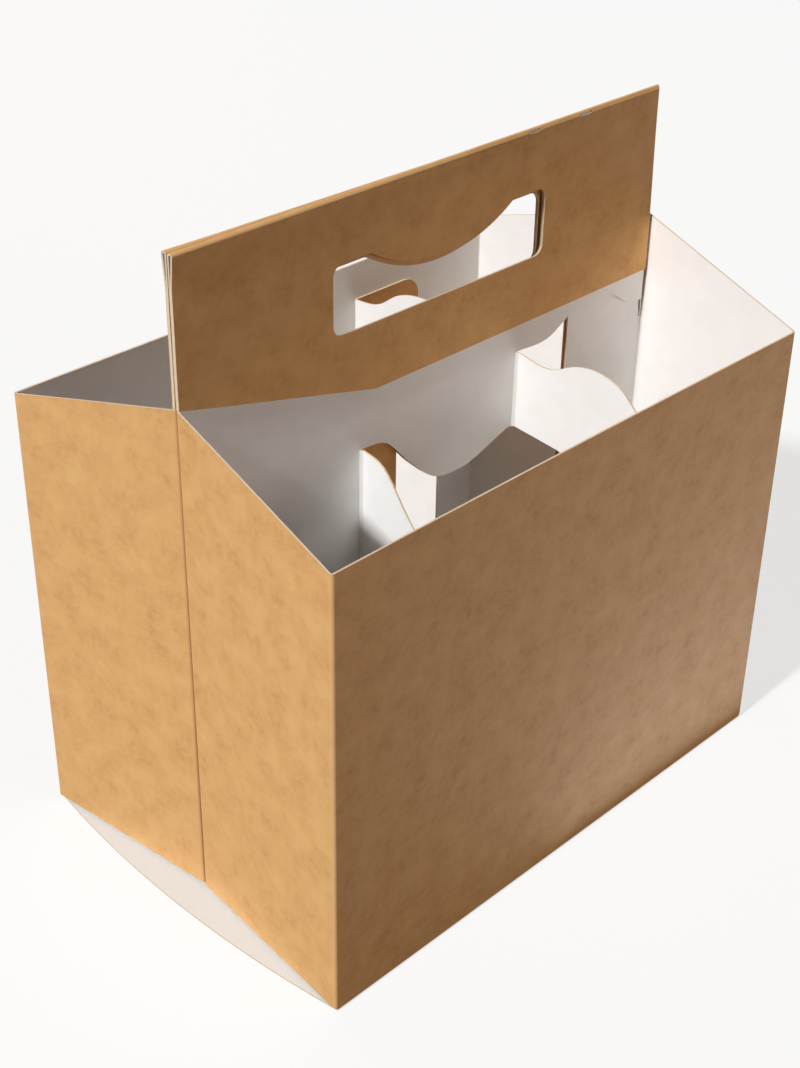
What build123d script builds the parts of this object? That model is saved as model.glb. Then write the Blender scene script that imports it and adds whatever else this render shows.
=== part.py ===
from build123d import *
from math import hypot
import os

# A six-cell bottle carrier, folded and glued from one blank of kraft-faced board.
# Millimetres, Z up. The origin is on the floor, midway between the four corners of the walls,
# with the length along X and the front wall towards -Y.

# Board
board = 0.6
fold_radius = 0.5           # inside radius of every fold
overrun = 5.0               # how far a cut runs past what it cuts

# Walls, ends and bottom
wall_length = 195.0
wall_height = 148.0
end_half_width = 65.8       # each end is two half panels, from corner to centre crease
left_push = 7.0             # the left crease is pushed in by this much
right_push = 9.0            # the right crease stands out by this much
crease_height = 165.0       # the ends rise from the wall tops to their creases
base_gap = 0.3              # the ends' and plies' free lower edges stand this far above the bottom folds
bottom_bulge = 4.0          # how far the free ends of the bottom panel curve outwards
bottom_crease_width = 1.6
bottom_crease_depth = 0.2

# Handle, on top of the medial plies
handle_rise = 43.5          # from the top of the creases to the top of the handle
handle_slit = 4.0           # gap between the medial plies and the right end
loop_hollow = 0.9           # the fold over the top of the handle is a narrow teardrop, hollow inside
loop_drop = 9.5
flap_low_edge = 146.5
flap_slope_length = 71.0    # the flap's lower edge slopes from the left crease over this length
nick_length = 6.0           # cuts along the crest of the fold
nick_depth = 1.0
first_nick = 135.0          # from the left crease
second_nick = 158.0

# Hand hole, from the left crease and the top of the handle
hole_left = 54.5
hole_width = 87.0
hole_drop = 19.2
hole_height = 21.6
hole_corner = 3.5
scallop_drop = 9.2          # the top edge hangs down in the middle as a shallow arc
scallop_width = 58.4
scallop_blend = 3.0

# Divider straps, cut from the plies and swung out to the walls
opening_low = 52.0
first_hinge = 66.0          # from the left crease
second_hinge = 133.0
hinge_stub = 3.0            # length of ply that each fold is drawn with
first_top = 128.3           # top of each strap at its hinge
second_top = 137.1
first_tab = 26.0
second_tab = 30.0
first_tab_corner = 7.0
second_tab_corner = 7.0
notch_clearance = 1.0       # the second strap's notch is the outline of the first strap's tab
leg_corner = 10.0

# Each top edge: share of the strap's reach, then share of its height at the hinge
first_edge_shares = ((0, 1), (0.15, 0.987), (0.32, 0.9), (0.48, 0.833), (0.64, 0.819), (1, 0.867))
second_edge_shares = (
    (0, 1), (0.24, 1), (0.4, 1.037), (0.57, 1.05), (0.7, 1.036), (0.82, 0.998), (1, 0.988),
)

# Anchor flaps, folded in from the right end and glued between the plies
anchor_reach = 39.5
anchor_lap = 1.0            # the rear flap reaches this much further
anchor_fold_top = 129.0
anchor_top = 150.0
anchor_slope_length = 12.0

# A tongue of the rear ply that stays beside the first hinge
tongue_width = 15.6
tongue_low = 90.0

# Places worked out from the sizes
half_board = board / 2
bend = fold_radius + half_board
half_length = wall_length / 2
base_clearance = bend + half_board + base_gap
loop_width = loop_hollow + 2 * board
half_depth = (end_half_width ** 2 - left_push ** 2) ** 0.5
left_crease = left_push - half_length
right_crease = right_push + half_length
ply_length = right_crease - left_crease - handle_slit
ply_line = -board - half_board
anchor_line = -half_board
wall_line = half_board - half_depth
tab_line = wall_line + board
handle_height = crease_height + handle_rise
loop_base = handle_height - loop_drop
hole_top = handle_height - hole_drop

# A strap is parallel to the half end panels
strap_run = ply_line - tab_line
strap_lean = left_push * strap_run / (ply_line - wall_line)
strap_reach = hypot(strap_run, strap_lean)
first_edge_end = first_top * first_edge_shares[-1][1]
second_edge_end = second_top * second_edge_shares[-1][1]


def folded_strip(points, low, high):
    """Board standing on edge along a plan path, with a round fold at each corner."""
    path = FilletPolyline(*points, radius=bend)
    return Pos(0, 0, low) * extrude(trace(path, board), amount=high - low)


def medial_panel(face, layer):
    """A panel in the front half's stack, counted in boards from the medial plane."""
    return extrude(Plane.XZ.offset(layer * board) * face, amount=board)


def crosswise(face, start, length):
    """A section drawn across the carrier and run along X."""
    return Pos(start, 0, 0) * extrude(Plane.YZ * face, amount=length)


def outline(*points):
    """A closed face with straight sides."""
    return make_face(Polyline(*points, close=True))


def nearest_corner(face, across, up):
    """The corner of a drawn face that lies nearest to a point."""
    return min(face.vertices(), key=lambda corner: hypot(corner.X - across, corner.Y - up))


def edge_points(shares, top):
    """Points of a strap's top edge: distance from its hinge, and height."""
    return [(along * strap_reach, up * top) for along, up in shares]


def wall_strip():
    """Left half end, wall, right half end and anchor fold, under the sloping rim."""
    turns = [
        (left_crease + hinge_stub, ply_line),
        (left_crease, ply_line),
        (half_board - half_length, wall_line),
        (half_length - half_board, wall_line),
        (right_crease, anchor_line),
    ]
    anchored = turns + [(right_crease - hinge_stub, anchor_line)]
    strip = folded_strip(anchored, base_clearance, anchor_fold_top)
    strip += folded_strip(turns, anchor_fold_top, crease_height)
    waste = outline(
        (-half_depth - overrun, wall_height),
        (board - half_depth, wall_height),
        (0, crease_height),
        (0, crease_height + overrun),
        (-half_depth - overrun, crease_height + overrun),
    )
    return strip - crosswise(waste, -wall_length, 2 * wall_length)


def strap_opening():
    """What the two straps leave open in a ply, out to its right end."""
    first = left_crease + first_hinge - bend
    second = left_crease + second_hinge
    first_edge = [(first + along, up) for along, up in edge_points(first_edge_shares, first_top)]
    second_edge = [(second + along, up) for along, up in edge_points(second_edge_shares, second_top)]
    far = second_edge[-1][0] + overrun
    return make_face([
        Line((first, opening_low), first_edge[0]),
        Spline(*first_edge),
        Polyline(first_edge[-1], (second, first_edge_end), second_edge[0]),
        Spline(*second_edge),
        Polyline(second_edge[-1], (far, second_edge_end), (far, opening_low), (first, opening_low)),
    ])


def medial_ply(tongue):
    """The ply that carries the handle, with the straps' opening and, at the rear, a tongue."""
    fold_end = left_crease + bend + board
    right = left_crease + ply_length
    ply = outline(
        (fold_end, base_clearance),
        (right, base_clearance),
        (right, loop_base),
        (left_crease, loop_base),
        (left_crease, crease_height),
        (fold_end, crease_height),
    )
    ply -= strap_opening()
    if tongue:
        hinge = left_crease + first_hinge
        left = hinge - hinge_stub
        width = tongue_width + hinge_stub
        height = first_top - tongue_low
        ply += Pos(left + width / 2, tongue_low + height / 2) * Rectangle(width, height)
    return medial_panel(ply, 1)


def handle_flap():
    """The outer ply of the handle, below the fold along its top."""
    right = left_crease + ply_length
    return medial_panel(outline(
        (left_crease, crease_height),
        (left_crease + flap_slope_length, flap_low_edge),
        (right, flap_low_edge),
        (right, loop_base),
        (left_crease, loop_base),
    ), 2)


def teardrop(back, front, *foot):
    """A round crest on two sides that close in towards the foot of the loop."""
    radius = (back - front) / 2
    spring = handle_height - loop_width / 2
    return make_face([
        Line((back, loop_base), (back, spring)),
        ThreePointArc((back, spring), (back - radius, spring + radius), (front, spring)),
        Polyline((front, spring), *foot, (back, loop_base)),
    ])


def handle_fold():
    """The hollow fold over the handle's top, with its two nicks."""
    back = -board
    front = back - loop_width
    inner = back - board
    section = teardrop(back, front, (inner - board, loop_base)) - teardrop(inner, front + board)
    fold = crosswise(section, left_crease, ply_length)
    for place in (first_nick, second_nick):
        nick = Box(nick_length, board + nick_depth, nick_depth, align=(Align.CENTER, Align.MIN, Align.MAX))
        fold -= Pos(left_crease + place, front - half_board, handle_height - half_board) * nick
    return fold


def hand_hole():
    """The grip opening through every layer of one half."""
    middle = left_crease + hole_left + hole_width / 2
    half = scallop_width / 2
    radius = (half ** 2 + scallop_drop ** 2) / (2 * scallop_drop)
    hole = Pos(middle, hole_top - hole_height / 2) * RectangleRounded(hole_width, hole_height, hole_corner)
    hole -= Pos(middle, hole_top - scallop_drop + radius) * Circle(radius)
    shoulders = [nearest_corner(hole, middle + side, hole_top) for side in (-half, half)]
    hole = fillet(shoulders, scallop_blend)
    return extrude(Plane.XZ * hole, amount=3 * board + overrun)


def anchor_flap(reach):
    """The flap from the right end that lies between the plies."""
    fold_end = right_crease - bend - board
    return medial_panel(outline(
        (fold_end, base_clearance),
        (fold_end, anchor_fold_top),
        (fold_end - anchor_slope_length, anchor_top),
        (right_crease - reach, anchor_top),
        (right_crease - reach, base_clearance),
    ), 0)


def strap(hinge, tab, tab_corner, section):
    """A divider from the medial ply to the wall, with its glue tab turned to the right."""
    start = left_crease + hinge
    end = start - strap_lean
    turns = [
        (start - hinge_stub, ply_line),
        (start, ply_line),
        (end, tab_line),
        (end + tab, tab_line),
    ]
    standing = folded_strip(turns, opening_low, handle_height)
    folded = standing & crosswise(section, left_crease, wall_length)
    corners = folded.edges().filter_by(Axis.Y).group_by(Axis.X)[-1]
    return fillet(corners, tab_corner)


def strap_section(shares, top, lower_edge):
    """A strap seen along X: its top edge, its end at the wall and the given lower edge."""
    lean_share = strap_run / strap_reach
    tops = [(ply_line - along * lean_share, up) for along, up in edge_points(shares, top)]
    hinge_side = ply_line + board
    wall_side = tab_line - board
    lower = [(ply_line - along * lean_share, up) for along, up in lower_edge]
    return make_face([
        Line((hinge_side, top), tops[0]),
        Spline(*tops),
        Polyline(tops[-1], (wall_side, tops[-1][1]), (wall_side, opening_low), *lower,
                 (hinge_side, lower[-1][1]), (hinge_side, top)),
    ])


def first_strap():
    """The lower strap, at the first hinge."""
    section = strap_section(first_edge_shares, first_top, [(0, opening_low)])
    return strap(first_hinge, first_tab, first_tab_corner, section)


def second_strap():
    """The higher strap, notched where the first strap's tab was cut out of it."""
    notch = first_tab + notch_clearance
    section = strap_section(second_edge_shares, second_top, [(notch, opening_low), (notch, first_edge_end)])
    section = fillet(nearest_corner(section, ply_line - notch, first_edge_end), first_tab_corner)
    section = fillet(nearest_corner(section, ply_line - notch, opening_low), leg_corner)
    return strap(second_hinge, second_tab, second_tab_corner, section)


def front_half(reach, tongue):
    """Everything on the front side of the medial plane but the bottom panel."""
    medial = medial_ply(tongue) + handle_flap() + handle_fold() - hand_hole()
    return wall_strip() + medial + anchor_flap(reach) + first_strap() + second_strap()


def bottom_panel():
    """The bottom, joined to both walls by folds, with free curved ends and a centre crease."""
    turns = [
        (wall_line, base_clearance),
        (wall_line, half_board),
        (-wall_line, half_board),
        (-wall_line, base_clearance),
    ]
    straight = wall_length - 2 * (bend + half_board)
    section = trace(FilletPolyline(*turns, radius=bend), board)
    crease = outline((-bottom_crease_width / 2, board), (0, board - bottom_crease_depth),
                     (bottom_crease_width / 2, board))
    floor = crosswise(section - crease, -straight / 2, straight)
    corner = half_depth - bend - board
    for side in (-1, 1):
        ends = [(side * straight / 2, -corner), (side * straight / 2, corner)]
        curve = ThreePointArc(ends[0], (side * (half_length + bottom_bulge), 0), ends[1])
        floor += extrude(make_face([curve, Line(ends[1], ends[0])]), amount=board)
    return floor


front = front_half(anchor_reach, False)
rear = mirror(front_half(anchor_reach + anchor_lap, True), Plane.XZ)
carrier = front + rear + bottom_panel()
carrier.label = "bottle_carrier"

os.makedirs("parts", exist_ok=True)
export_step(carrier, "parts/bottle_carrier.step")
print("solids", len(carrier.solids()), "volume", round(carrier.volume, 1), "valid", carrier.is_valid)
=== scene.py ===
"""Looks of a six-cell bottle carrier, folded and glued from one blank of kraft-faced board."""
import logging
import math
from collections.abc import Callable
from dataclasses import dataclass, field
from enum import Enum

import bpy
import numpy as np
from mathutils import Matrix, Vector
from mathutils.geometry import delaunay_2d_cdt
from mathutils.kdtree import KDTree


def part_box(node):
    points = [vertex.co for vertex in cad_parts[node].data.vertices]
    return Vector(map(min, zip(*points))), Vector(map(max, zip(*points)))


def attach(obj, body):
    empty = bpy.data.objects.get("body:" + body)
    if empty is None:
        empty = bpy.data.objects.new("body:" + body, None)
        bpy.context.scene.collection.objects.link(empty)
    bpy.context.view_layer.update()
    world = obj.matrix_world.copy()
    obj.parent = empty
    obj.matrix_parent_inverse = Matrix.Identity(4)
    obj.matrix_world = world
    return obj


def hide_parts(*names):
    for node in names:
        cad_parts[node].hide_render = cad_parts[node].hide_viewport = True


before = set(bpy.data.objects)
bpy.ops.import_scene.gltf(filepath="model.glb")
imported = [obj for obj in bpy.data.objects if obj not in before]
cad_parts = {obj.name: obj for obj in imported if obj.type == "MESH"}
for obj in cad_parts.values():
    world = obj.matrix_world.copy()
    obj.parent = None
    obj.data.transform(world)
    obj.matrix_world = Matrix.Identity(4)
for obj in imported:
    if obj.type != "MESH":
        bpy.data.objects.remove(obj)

LOG = logging.getLogger("bottle_carrier")

# Sizes are in millimetres, and the scene is in metres.
MM = 0.001
CAD_NODE = "bottle_carrier"
BODY = "root"

# Layers of the mesh: the place on the flat blank, the wear at folds, and the depth from the kraft face.
BLANK_MAP = "blank"
WEAR_LAYER = "fold_wear"
DEPTH_LAYER = "board_depth"

# Straight pieces of a round corner, and points along an arc, a strap's top edge and round a nick.
CORNER_STEPS = 8
ARC_POINTS = 25
EDGE_POINTS = 33
NICK_POINTS = 16

# Slack for rounding when a side is divided, and the distance within which flat points become one.
SLACK = 1e-6
SAME_POINT = 1e-5

TRIANGLE_SIDES = ((0, 1), (1, 2), (2, 0))

# Sockets of a Mix node for colours, by number, because its other types of value use the same names.
MIX_SHARE, MIX_UNDER, MIX_OVER, MIX_RESULT = 0, 6, 7, 2
PLAIN_WHITE = (1.0, 1.0, 1.0, 1.0)

Point = tuple[float, float]
Place = tuple[float, float, float]
Outline = list[Point]
Fold = tuple[float, float]


class BoardSide(Enum):
    """The three surfaces of the board, in the order of the mesh's material slots."""

    KRAFT = 0
    WHITE = 1
    CUT = 2


class Half(Enum):
    """The two mirrored halves of the blank, each with the sign that its Y takes."""

    FRONT = 1
    REAR = -1


def linear(colour: str) -> tuple[float, float, float, float]:
    """Turn an sRGB hex value into a linear colour.

    Args:
        colour: Six hex digits after a hash sign.

    Returns:
        Linear red, green and blue, with an alpha of 1.
    """
    parts = [int(colour[place:place + 2], 16) / 255 for place in (1, 3, 5)]
    channels = [part / 12.92 if part <= 0.04045 else ((part + 0.055) / 1.055) ** 2.4 for part in parts]
    return channels[0], channels[1], channels[2], 1.0


def feed(tree: bpy.types.NodeTree, node: bpy.types.Node, feeds: dict[str | int, object]) -> None:
    """Set or link a node's inputs.

    Args:
        tree: The tree that the node is in.
        node: The node.
        feeds: Input sockets, each with a value or the output socket that feeds it.
    """
    for key, value in feeds.items():
        if isinstance(value, bpy.types.NodeSocket):
            tree.links.new(value, node.inputs[key])
        else:
            node.inputs[key].default_value = value


def add_node(tree: bpy.types.NodeTree, kind: str, settings: dict[str, object],
             feeds: dict[str | int, object]) -> bpy.types.Node:
    """Add one node to a tree, set it and link it.

    Args:
        tree: The tree that the node goes into.
        kind: The node's type name.
        settings: Properties of the node and their values.
        feeds: Input sockets, each with a value or the output socket that feeds it.

    Returns:
        The new node.
    """
    node = tree.nodes.new(kind)
    for name, value in settings.items():
        setattr(node, name, value)
    feed(tree, node, feeds)
    return node


def smooth_step(value: np.ndarray) -> np.ndarray:
    """Ease from 0 to 1 over the unit range, flat outside it."""
    share = np.clip(value, 0.0, 1.0)
    return share * share * (3.0 - 2.0 * share)


def smooth_edge(points: list[Point], along: np.ndarray) -> np.ndarray:
    """Heights of a smooth curve through a few points.

    Args:
        points: Distance and height of each point, in order.
        along: Distances at which the curve is wanted.

    Returns:
        The curve's height at each distance.
    """
    place = np.array([point[0] for point in points])
    height = np.array([point[1] for point in points])
    slope = np.gradient(height, place)
    index = np.clip(np.searchsorted(place, along) - 1, 0, len(place) - 2)
    span = place[index + 1] - place[index]
    share = np.clip((along - place[index]) / span, 0.0, 1.0)
    ease = smooth_step(share)
    lead = share * (1.0 - share) ** 2 * slope[index]
    trail = -share ** 2 * (1.0 - share) * slope[index + 1]
    return height[index] + ease * (height[index + 1] - height[index]) + span * (lead + trail)


def rounded(points: Outline, radii: list[float]) -> Outline:
    """Round the corners of a closed outline.

    Args:
        points: Corners of the outline, in order.
        radii: Radius at each corner, 0 where it stays sharp.

    Returns:
        The outline with an arc in place of each rounded corner.
    """
    made: Outline = []
    for index, (point, radius) in enumerate(zip(points, radii)):
        if radius == 0:
            made.append(point)
            continue
        corner = np.array(point)
        back = np.array(points[index - 1]) - corner
        ahead = np.array(points[(index + 1) % len(points)]) - corner
        back = back / np.linalg.norm(back)
        ahead = ahead / np.linalg.norm(ahead)
        half_angle = math.acos(float(np.clip(back @ ahead, -1.0, 1.0))) / 2
        middle = (back + ahead) / np.linalg.norm(back + ahead)
        centre = corner + middle * radius / math.sin(half_angle)
        first = corner + back * radius / math.tan(half_angle) - centre
        last = corner + ahead * radius / math.tan(half_angle) - centre
        start = math.atan2(first[1], first[0])
        sweep = math.remainder(math.atan2(last[1], last[0]) - start, math.tau)
        for step in range(CORNER_STEPS + 1):
            angle = start + sweep * step / CORNER_STEPS
            made.append((centre[0] + radius * math.cos(angle), centre[1] + radius * math.sin(angle)))
    return made


def subdivided(points: Outline, longest: float) -> Outline:
    """Divide the sides of a closed outline.

    Args:
        points: Corners of the outline, in order.
        longest: Longest side that may stay whole.

    Returns:
        The same outline with points along its long sides.
    """
    made: Outline = []
    for index, start in enumerate(points):
        end = points[(index + 1) % len(points)]
        pieces = max(1, math.ceil(math.dist(start, end) / longest - SLACK))
        for piece in range(pieces):
            share = piece / pieces
            made.append((start[0] + share * (end[0] - start[0]), start[1] + share * (end[1] - start[1])))
    return made


def inside(outline: Outline, points: np.ndarray) -> np.ndarray:
    """Tell which points lie inside a closed outline.

    Args:
        outline: Corners of the outline, in order.
        points: Points to test, one row each.

    Returns:
        True for each point inside.
    """
    found = np.zeros(len(points), bool)
    for index, (x_end, y_end) in enumerate(outline):
        x_start, y_start = outline[index - 1]
        if y_start == y_end:
            continue
        crosses = (y_start > points[:, 1]) != (y_end > points[:, 1])
        reach = x_start + (points[:, 1] - y_start) * (x_end - x_start) / (y_end - y_start)
        found ^= crosses & (points[:, 0] < reach)
    return found


def divided(folds: list[Fold], steps: int) -> list[float]:
    """Distances of the lines that divide each fold into a number of steps."""
    return [float(place) for start, end in folds for place in np.linspace(start, end, steps + 1)]


@dataclass(frozen=True)
class Run:
    """One straight or evenly curved stretch of a fold path."""

    start: float
    origin: Point
    heading: float
    curve: float


@dataclass
class FoldPath:
    """The board's middle line seen edge on: straight runs with a round fold at each corner."""

    corners: list[Point]
    radii: list[float]
    runs: list[Run] = field(default_factory=list)
    folds: list[Fold] = field(default_factory=list)
    length: float = 0.0

    def __post_init__(self) -> None:
        """Work out the runs, and where each fold starts and ends along the path."""
        trimmed = 0.0
        for index, (start, end) in enumerate(zip(self.corners, self.corners[1:])):
            heading = math.atan2(end[1] - start[1], end[0] - start[0])
            origin = (start[0] + trimmed * math.cos(heading), start[1] + trimmed * math.sin(heading))
            self.runs.append(Run(self.length, origin, heading, 0.0))
            self.length += math.dist(start, end) - trimmed
            trimmed = 0.0
            if index < len(self.radii):
                trimmed = self.turn(index + 1, heading)

    def turn(self, corner: int, heading: float) -> float:
        """Add the fold at one corner.

        Args:
            corner: The corner's place in the list.
            heading: Direction in which the path comes to it.

        Returns:
            The length that the fold takes from the run on each side.
        """
        here, ahead = self.corners[corner], self.corners[corner + 1]
        radius = self.radii[corner - 1]
        angle = math.remainder(math.atan2(ahead[1] - here[1], ahead[0] - here[0]) - heading, math.tau)
        taken = radius * math.tan(abs(angle) / 2)
        self.length -= taken
        origin = (here[0] - taken * math.cos(heading), here[1] - taken * math.sin(heading))
        self.runs.append(Run(self.length, origin, heading, math.copysign(1 / radius, angle)))
        end = self.length + radius * abs(angle)
        self.folds.append((self.length, end))
        self.length = end
        return taken

    def at(self, along: np.ndarray) -> np.ndarray:
        """Find points of the path, which runs on straight past both its ends.

        Args:
            along: Distances along the path.

        Returns:
            One point for each distance.
        """
        found = np.zeros((len(along), 2))
        for run in self.runs:
            there = (along >= run.start) | (run is self.runs[0])
            gone = along[there] - run.start
            if run.curve == 0:
                step = np.stack([gone * math.cos(run.heading), gone * math.sin(run.heading)], 1)
            else:
                turned = run.heading + run.curve * gone
                step = np.stack([np.sin(turned) - math.sin(run.heading),
                                 math.cos(run.heading) - np.cos(turned)], 1) / run.curve
            found[there] = np.array(run.origin) + step
        return found

    def upright(self, along: np.ndarray, up: np.ndarray) -> np.ndarray:
        """Middle points of upright board that follows the path in plan."""
        return np.column_stack([self.at(along), up])


@dataclass(frozen=True)
class Layout:
    """Sizes that several panels share."""

    half_depth: float
    handle_height: float
    right_crease: float
    board: float = 0.6
    fold_radius: float = 0.5
    wall_length: float = 195.0
    wall_height: float = 148.0
    left_push: float = 7.0
    crease_height: float = 165.0
    base_gap: float = 0.3
    hinge_stub: float = 3.0
    fold_steps: int = 6
    grid: float = 7.0

    @classmethod
    def from_frame(cls) -> "Layout":
        """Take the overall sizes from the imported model's box."""
        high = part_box(CAD_NODE)[1] / MM
        return cls(half_depth=high.y, handle_height=high.z, right_crease=high.x - cls.board / 2)

    @property
    def half_board(self) -> float:
        """Half the board's thickness."""
        return self.board / 2

    @property
    def bend(self) -> float:
        """Radius of the middle line at a fold."""
        return self.fold_radius + self.half_board

    @property
    def half_length(self) -> float:
        """Half the walls' length."""
        return self.wall_length / 2

    @property
    def base_clearance(self) -> float:
        """Height of the free lower edges."""
        return self.bend + self.half_board + self.base_gap

    @property
    def left_crease(self) -> float:
        """X of the pushed-in left crease."""
        return self.left_push - self.half_length

    @property
    def ply_line(self) -> float:
        """Y of the front medial ply's middle."""
        return -self.board - self.half_board

    @property
    def anchor_line(self) -> float:
        """Y of the front anchor flap's middle."""
        return -self.half_board

    @property
    def wall_line(self) -> float:
        """Y of the front wall's middle."""
        return self.half_board - self.half_depth

    @property
    def tab_line(self) -> float:
        """Y of a strap's glue tab, flat on the inside of the wall."""
        return self.wall_line + self.board


@dataclass
class Panel:
    """One stretch of the flat blank, and the way that it folds into place.

    The fold turns two arrays, distances across and up the blank, into middle points of the board.
    """

    outline: Outline
    fold: Callable[[np.ndarray, np.ndarray], np.ndarray]
    blank: Callable[[np.ndarray, np.ndarray], np.ndarray]
    kraft_sign: float
    holes: list[Outline] = field(default_factory=list)
    folds_across: list[Fold] = field(default_factory=list)
    folds_up: list[Fold] = field(default_factory=list)

    def triangles(self, grid: float, steps: int) -> tuple[np.ndarray, np.ndarray]:
        """Divide the flat panel into triangles.

        Args:
            grid: Spacing of the points that fill the panel.
            steps: Strips in each fold.

        Returns:
            Flat points, and three point numbers for each triangle.
        """
        loops = [subdivided(loop, grid) for loop in [self.outline, *self.holes]]
        points: Outline = []
        edges: list[tuple[int, int]] = []
        for loop in loops:
            first = len(points)
            points += loop
            edges += [(first + index, first + (index + 1) % len(loop)) for index in range(len(loop))]
        rim = np.array(points)
        low, high = rim.min(0) - grid, rim.max(0) + grid
        for line in divided(self.folds_across, steps):
            edges.append((len(points), len(points) + 1))
            points += [(line, low[1]), (line, high[1])]
        for line in divided(self.folds_up, steps):
            edges.append((len(points), len(points) + 1))
            points += [(low[0], line), (high[0], line)]
        columns, rows = (np.arange(low[axis], high[axis], grid) for axis in (0, 1))
        lattice = np.stack(np.meshgrid(columns, rows), -1).reshape(-1, 2)
        lattice = lattice[self.covers(lattice)]
        # A filling point on a seam would have no partner in the panel beside it.
        apart = grid / 3
        close = np.array([spot for loop in loops for spot in subdivided(loop, apart)])
        clear = np.array([np.hypot(*(close - spot).T).min() > apart for spot in lattice], bool)
        points += [(float(x), float(y)) for x, y in lattice[clear]]
        made = delaunay_2d_cdt([Vector(point) for point in points], edges, [], 0, SAME_POINT)
        flat = np.array([tuple(point) for point in made[0]])
        corners = np.array(made[2])
        return flat, corners[self.covers(flat[corners].mean(1))]

    def covers(self, points: np.ndarray) -> np.ndarray:
        """Tell which flat points lie on the panel's board."""
        found = inside(self.outline, points)
        for hole in self.holes:
            found &= ~inside(hole, points)
        return found

    def worn(self, across: np.ndarray, up: np.ndarray) -> np.ndarray:
        """Share of each flat point in a fold's wear, from 0 at the fold's edges to 1 in its middle."""
        found = np.zeros(len(across))
        for places, folds in ((across, self.folds_across), (up, self.folds_up)):
            for start, end in folds:
                share = np.clip((places - start) / (end - start), 0.0, 1.0)
                found = np.maximum(found, np.sin(math.pi * share))
        return found


@dataclass(frozen=True)
class Settling:
    """The small unevenness of board folded by hand.

    The plies close up towards the left crease, the wall's free top edge bows in, and the rear half's
    handle sits a little lower than the front's.
    """

    close_low: float = 0.26
    close_high: float = 0.5
    close_reach: float = 150.0
    close_fade: float = 36.0
    waver: float = 0.05
    waver_lengths: Point = (5.3, 13.7)
    waver_phase: float = 1.0
    wall_bow: float = 0.45
    bow_start: float = 48.0
    rear_drop: float = 2.1
    drop_start: float = 141.0
    drop_rise: float = 22.0
    drop_lead: float = 5.0
    drop_depth: float = 5.0

    def moved(self, points: np.ndarray, layout: Layout, half: Half) -> np.ndarray:
        """Settle points of one half.

        Args:
            points: Middle points of the board as folded true, in the front half's place.
            layout: The shared sizes.
            half: The half that they belong to.

        Returns:
            The points after settling.
        """
        moved = points.copy()
        x, y, z = points.T
        rise = np.clip(z / layout.handle_height, 0.0, 1.0)
        short, long = self.waver_lengths
        wave = self.waver * np.sin(z / short) * np.sin(z / long + self.waver_phase)
        left = 1.0 - smooth_step((x - layout.left_crease) / self.close_reach)
        near = 1.0 - smooth_step(np.abs(y) / self.close_fade)
        moved[:, 1] += (self.close_low + (self.close_high - self.close_low) * rise + wave) * left * near
        span = np.clip((x + layout.half_length) / layout.wall_length, 0.0, 1.0)
        outer = smooth_step((-y - self.bow_start) / (layout.half_depth - self.bow_start))
        climb = np.clip(z / layout.wall_height, 0.0, 1.0)
        moved[:, 1] += self.wall_bow * np.sin(math.pi * span) * climb ** 2 * outer
        if half is Half.REAR:
            lead = smooth_step((x - layout.left_crease) / self.drop_lead)
            middle = 1.0 - smooth_step((np.abs(y) - self.drop_depth) / self.drop_depth)
            drop = self.rear_drop * smooth_step((z - self.drop_start) / self.drop_rise)
            moved[:, 2] -= drop * lead * middle
        return moved


def free_edges(numbers: np.ndarray, blank: np.ndarray) -> tuple[np.ndarray, np.ndarray]:
    """Find the edges that only one triangle has.

    Args:
        numbers: Three point numbers for each triangle.
        blank: Places of the triangles' corners on the flat blank.

    Returns:
        Two point numbers for each free edge, and the places of both on the blank.
    """
    edges = np.concatenate([numbers[:, pair] for pair in TRIANGLE_SIDES])
    places = np.concatenate([blank[:, pair] for pair in TRIANGLE_SIDES])
    _, inverse, times = np.unique(np.sort(edges, 1), axis=0, return_inverse=True, return_counts=True)
    free = times[inverse.reshape(-1)] == 1
    return edges[free], places[free]


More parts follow.
